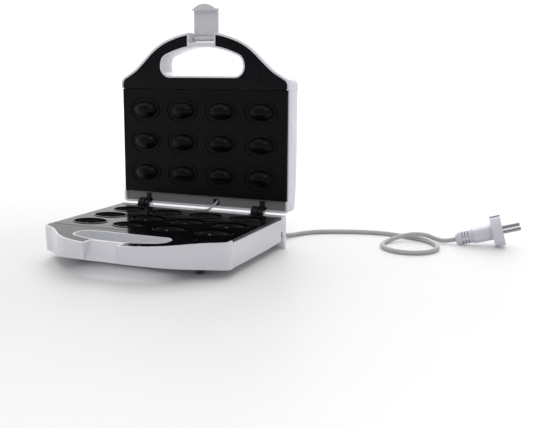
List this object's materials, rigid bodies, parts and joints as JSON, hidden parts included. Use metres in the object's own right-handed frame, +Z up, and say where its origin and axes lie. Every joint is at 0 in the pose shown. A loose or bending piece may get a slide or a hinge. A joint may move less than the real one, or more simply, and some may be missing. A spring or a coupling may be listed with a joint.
{
  "type": "walnut cookie maker",
  "caption": "Countertop cooker for walnut-shaped cookies: hinged lid with oval domes over oval cavities, open hand-hole handles, latch clip and a mains cord with plug.",
  "frame": {"origin": "centre of the appliance's footprint on the surface it stands on, without the cord", "axes": "+X to the right seen from the handles, +Y to the hinges at the back, +Z up"},
  "size_m": [0.4958, 0.3407, 0.2915],
  "materials": {
    "white_shell": "gloss white with a slight grey cast",
    "trim_grey": "satin grey",
    "black_panel": "gloss black",
    "non_stick": "black non-stick coating",
    "heater_steel": "dark annealed steel tube",
    "zinc_steel": "zinc plated",
    "reflector": "bright sheet",
    "black_screw": "black oxide",
    "foot_rubber": "matt",
    "hinge_black": "satin black",
    "terminal_plastic": "matt",
    "sensor_steel": "satin",
    "wire_sleeve": "matt",
    "cord_grey": "satin grey",
    "plug_grey": "satin grey",
    "plug_metal": "nickel plated",
    "lens_red": "clear red",
    "lens_green": "clear green",
    "lamp_glass": "clear",
    "latch_plastic": "satin grey"
  },
  "bodies": {
    "base": {"base_shell": "white_shell", "base_rear_trim": "trim_grey", "base_handle_panel": "black_panel", "lower_plate": "non_stick", "lower_heater": "heater_steel", "lower_heater_clamps": "zinc_steel", "lower_clamp_screws": "zinc_steel", "lower_heat_reflector": "reflector", "lower_plate_screws": "zinc_steel", "base_panel_screws": "black_screw", "front_left_foot": "foot_rubber", "front_right_foot": "foot_rubber", "left_base_hinge": "hinge_black", "right_base_hinge": "hinge_black", "base_hinge_screws": "zinc_steel", "left_hinge_pin": "zinc_steel", "right_hinge_pin": "zinc_steel", "hinge_pin_clips": "zinc_steel", "terminal_block": "terminal_plastic", "terminal_screws": "zinc_steel", "thermostat": "sensor_steel", "thermal_fuse": "sensor_steel", "base_wiring": "wire_sleeve", "inner_lead": "cord_grey", "cord_clamp": "terminal_plastic", "cord_clamp_screws": "zinc_steel", "cord_gland": "cord_grey", "power_cord": "cord_grey", "plug_relief": "plug_grey", "plug_body": "plug_grey", "plug_pins": "plug_metal", "plug_earth_contacts": "plug_metal", "interconnect_cable": "cord_grey"},
    "lid": {"lid_shell": "white_shell", "lid_rear_trim": "trim_grey", "lid_handle_panel": "black_panel", "upper_plate": "non_stick", "upper_heater": "heater_steel", "upper_heater_clamps": "zinc_steel", "upper_clamp_screws": "zinc_steel", "upper_heat_reflector": "reflector", "upper_plate_screws": "zinc_steel", "lid_panel_screws": "black_screw", "left_lid_hinge": "hinge_black", "right_lid_hinge": "hinge_black", "lid_hinge_screws": "zinc_steel", "power_light_lens": "lens_red", "ready_light_lens": "lens_green", "lamp_holder": "terminal_plastic", "indicator_lamps": "lamp_glass", "lid_wiring": "wire_sleeve", "latch_pin": "zinc_steel"},
    "latch": {"latch_clip": "latch_plastic"}
  },
  "joints": [
    {"name": "lid_hinge", "type": "hinge", "parent": "base", "child": "lid", "pos_m": [0, 0.09211, 0.04], "axis": [1, 0, 0], "range_deg": [0, 91.2], "deforming": ["interconnect_cable"]},
    {"name": "latch_pivot", "type": "hinge", "parent": "lid", "child": "latch", "pos_m": [0, 0.11051, 0.24966], "axis": [1, 0, 0], "range_deg": [0, 77]}
  ]
}
